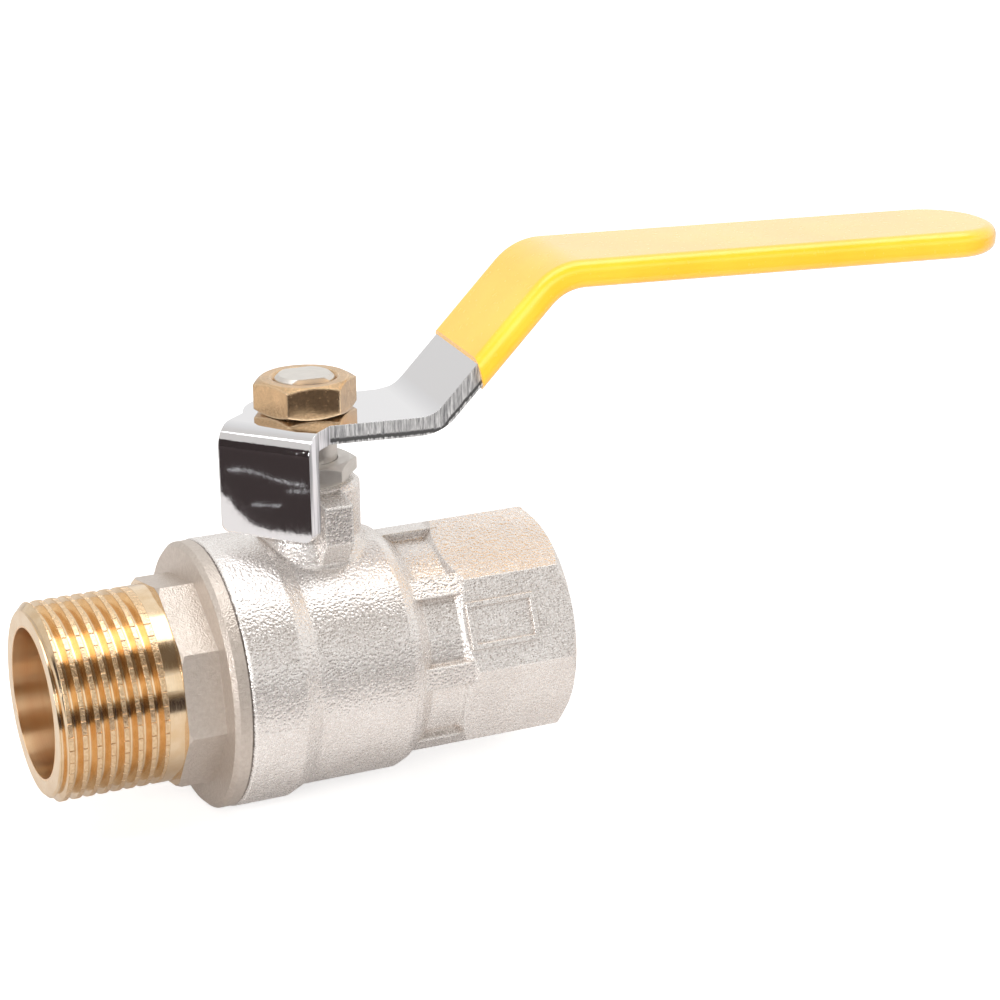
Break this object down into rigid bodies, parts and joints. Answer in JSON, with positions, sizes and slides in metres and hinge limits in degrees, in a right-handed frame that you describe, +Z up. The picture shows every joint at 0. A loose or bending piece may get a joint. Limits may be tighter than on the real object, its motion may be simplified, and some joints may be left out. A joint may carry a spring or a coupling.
{
  "type": "ball valve",
  "caption": "Lever-operated ball valve with a male threaded inlet and a female threaded outlet; a quarter turn of the cranked handle turns the bored ball.",
  "frame": {"origin": "centre of the ball, where the pipe axis and the stem axis cross", "axes": "+X along the pipe towards the female outlet, +Z up along the stem towards the handle, -Y on the side of the raised frame"},
  "size_m": [0.1392, 0.0364, 0.0717],
  "materials": {
    "nickel_cast": "nickel plated over a shot-blasted hot-stamped brass skin",
    "nickel_turned": "nickel plated, machined, satin",
    "ptfe": "PTFE",
    "stem_brass": "nickel plated, turned",
    "nitrile": "nitrile rubber",
    "chromed_steel": "bright chrome on pressed steel strip",
    "yellow_pvc": "glossy dipped PVC",
    "yellow_zinc": "yellow zinc plated",
    "chromed_ball": "polished chrome"
  },
  "bodies": {
    "valve_body": {"housing": "nickel_cast", "end_connector": "nickel_turned", "body_joint_seal": "ptfe", "seat_ring_inlet": "ptfe", "seat_ring_outlet": "ptfe", "thrust_washer": "ptfe", "packing_ring_lower": "ptfe", "packing_ring_upper": "ptfe", "gland_nut": "nickel_turned"},
    "spindle": {"stem": "stem_brass", "stem_o_ring": "nitrile", "lever": "chromed_steel", "lever_grip": "yellow_pvc", "lever_nut": "yellow_zinc"},
    "ball": {"ball": "chromed_ball"}
  },
  "joints": [
    {"name": "lever_turn", "type": "hinge", "parent": "valve_body", "child": "spindle", "pos_m": [0, 0, 0.0252], "axis": [0, 0, 1], "range_deg": [-85, 5]},
    {"name": "ball_turn", "type": "hinge", "parent": "valve_body", "child": "ball", "pos_m": [0, 0, 0], "axis": [0, 0, 1], "range_deg": [-85, 5]}
  ],
  "couplings": [
    {"joint": "ball_turn", "follows": "lever_turn", "ratio": 1}
  ]
}
